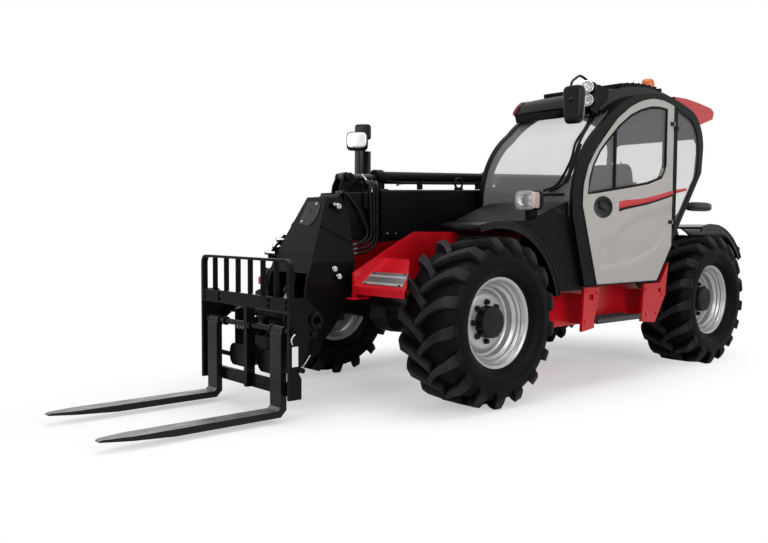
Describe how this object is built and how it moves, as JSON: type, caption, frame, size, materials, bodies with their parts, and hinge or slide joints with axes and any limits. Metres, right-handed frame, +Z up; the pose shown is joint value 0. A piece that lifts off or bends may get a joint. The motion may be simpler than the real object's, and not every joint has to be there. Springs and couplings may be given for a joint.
{
  "type": "telehandler",
  "caption": "Telescopic handler with a side cab, a long two-section boom on a rear pivot, big lugged tyres on steered axles and a carriage with pallet forks.",
  "frame": {"origin": "on the ground, under the middle of the machine's length, width and outer box", "axes": "+X forward, toward the forks; +Y left, the cab's side; +Z up"},
  "size_m": [6.376, 2.392, 2.655],
  "materials": {
    "red_paint": "satin paint",
    "black_paint": "satin powder coat",
    "grey_paint": "satin paint",
    "silver_paint": "silver paint",
    "cast_iron": "painted casting",
    "tyre_rubber": "rubber",
    "tinted_glass": "tinted",
    "black_plastic": "moulded",
    "hard_chrome": "ground and plated",
    "worn_steel": "worn bare",
    "seat_fabric": "woven",
    "amber_plastic": "translucent",
    "lamp_plastic": "gloss"
  },
  "bodies": {
    "chassis": {"chassis_frame": "red_paint", "front_shelves": "red_paint", "cab_support": "red_paint", "access_step": "black_paint", "counterweight": "black_paint", "tow_hitch": "black_paint", "front_axle": "black_paint", "rear_axle": "black_paint", "fenders": "black_plastic", "cab_frame": "black_paint", "windscreen": "tinted_glass", "rear_glass": "tinted_glass", "side_glass": "tinted_glass", "cab_roof": "black_plastic", "roof_spoiler": "red_paint", "roof_guard": "black_paint", "seat": "seat_fabric", "steering_column": "black_plastic", "front_cowls": "black_plastic", "engine_bay": "red_paint", "engine_block": "cast_iron", "lamps": "lamp_plastic", "mirrors": "black_plastic", "beacon": "amber_plastic"},
    "door": {"door_panel": "grey_paint", "door_glass": "tinted_glass", "door_handle": "black_plastic"},
    "hood": {"engine_hood": "grey_paint"},
    "boom_outer": {"boom_outer": "black_paint", "extension_barrel": "black_paint"},
    "boom_inner": {"boom_inner": "black_paint", "extension_rod": "hard_chrome", "boom_head": "black_paint"},
    "lift_barrel": {"lift_barrel": "black_paint"},
    "lift_rod": {"lift_rod": "hard_chrome"},
    "tilt_barrel": {"tilt_barrel": "black_paint"},
    "tilt_rod": {"tilt_rod": "hard_chrome"},
    "carriage": {"coupler": "black_paint", "fork_carriage": "black_paint", "load_backrest": "black_paint", "fork_left": "worn_steel", "fork_right": "worn_steel"},
    "knuckle_front_left": {"knuckle_front_left": "cast_iron"},
    "wheel_front_left": {"tyre_front_left": "tyre_rubber", "rim_front_left": "silver_paint"},
    "knuckle_front_right": {"knuckle_front_right": "cast_iron"},
    "wheel_front_right": {"tyre_front_right": "tyre_rubber", "rim_front_right": "silver_paint"},
    "knuckle_rear_left": {"knuckle_rear_left": "cast_iron"},
    "wheel_rear_left": {"tyre_rear_left": "tyre_rubber", "rim_rear_left": "silver_paint"},
    "knuckle_rear_right": {"knuckle_rear_right": "cast_iron"},
    "wheel_rear_right": {"tyre_rear_right": "tyre_rubber", "rim_rear_right": "silver_paint"}
  },
  "joints": [
    {"name": "boom_lift", "type": "hinge", "parent": "chassis", "child": "boom_outer", "pos_m": [-2.34, 0, 1.65], "axis": [0, -1, 0], "range_deg": [0, 65]},
    {"name": "boom_extend", "type": "slide", "parent": "boom_outer", "child": "boom_inner", "axis": [0.9994, 0, -0.0349], "range_m": [0, 2.6]},
    {"name": "carriage_tilt", "type": "hinge", "parent": "boom_inner", "child": "carriage", "pos_m": [1.58, 0, 0.45], "axis": [0, 1, 0], "range_deg": [-12, 114]},
    {"name": "lift_barrel_swing", "type": "hinge", "parent": "chassis", "child": "lift_barrel", "pos_m": [-2.04, 0, 0.65], "axis": [0, -1, 0], "range_deg": [0, 50.5]},
    {"name": "lift_rod_slide", "type": "slide", "parent": "lift_barrel", "child": "lift_rod", "axis": [0.9472, 0, 0.3206], "range_m": [0, 1.08]},
    {"name": "tilt_barrel_swing", "type": "hinge", "parent": "boom_inner", "child": "tilt_barrel", "pos_m": [1.26, 0, 1.45], "axis": [0, 1, 0], "range_deg": [-0.3, 2.1]},
    {"name": "tilt_rod_slide", "type": "slide", "parent": "tilt_barrel", "child": "tilt_rod", "axis": [0.4607, 0, -0.8876], "range_m": [-0.038, 0.35]},
    {"name": "door_hinge", "type": "hinge", "parent": "chassis", "child": "door", "pos_m": [-1.696, 1.184, 1.77], "axis": [0, 0, 1], "range_deg": [0, 85]},
    {"name": "hood_hinge", "type": "hinge", "parent": "chassis", "child": "hood", "pos_m": [-0.99, -0.37, 1.44], "axis": [-1, 0, 0], "range_deg": [0, 60]},
    {"name": "front_steer", "type": "hinge", "parent": "chassis", "child": "knuckle_front_left", "pos_m": [0.56, 0.9, 0.62], "axis": [0, 0, 1], "range_deg": [-35, 35]},
    {"name": "front_steer_right", "type": "hinge", "parent": "chassis", "child": "knuckle_front_right", "pos_m": [0.56, -0.9, 0.62], "axis": [0, 0, 1], "range_deg": [-35, 35]},
    {"name": "rear_steer", "type": "hinge", "parent": "chassis", "child": "knuckle_rear_left", "pos_m": [-2.51, 0.9, 0.62], "axis": [0, 0, 1], "range_deg": [-35, 35]},
    {"name": "rear_steer_right", "type": "hinge", "parent": "chassis", "child": "knuckle_rear_right", "pos_m": [-2.51, -0.9, 0.62], "axis": [0, 0, 1], "range_deg": [-35, 35]},
    {"name": "wheel_spin_front_left", "type": "hinge", "parent": "knuckle_front_left", "child": "wheel_front_left", "pos_m": [0.56, 0.935, 0.62], "axis": [0, 1, 0], "continuous": true},
    {"name": "wheel_spin_front_right", "type": "hinge", "parent": "knuckle_front_right", "child": "wheel_front_right", "pos_m": [0.56, -0.935, 0.62], "axis": [0, 1, 0], "continuous": true},
    {"name": "wheel_spin_rear_left", "type": "hinge", "parent": "knuckle_rear_left", "child": "wheel_rear_left", "pos_m": [-2.51, 0.935, 0.62], "axis": [0, 1, 0], "continuous": true},
    {"name": "wheel_spin_rear_right", "type": "hinge", "parent": "knuckle_rear_right", "child": "wheel_rear_right", "pos_m": [-2.51, -0.935, 0.62], "axis": [0, 1, 0], "continuous": true}
  ],
  "couplings": [
    {"joint": "lift_barrel_swing", "follows": "boom_lift", "ratio": 0.775},
    {"joint": "lift_rod_slide", "follows": "boom_lift", "m_per_rad": 0.943},
    {"joint": "tilt_barrel_swing", "follows": "carriage_tilt", "ratio": 0.017},
    {"joint": "tilt_rod_slide", "follows": "carriage_tilt", "m_per_rad": 0.175},
    {"joint": "front_steer_right", "follows": "front_steer", "ratio": 1},
    {"joint": "rear_steer_right", "follows": "rear_steer", "ratio": 1}
  ]
}
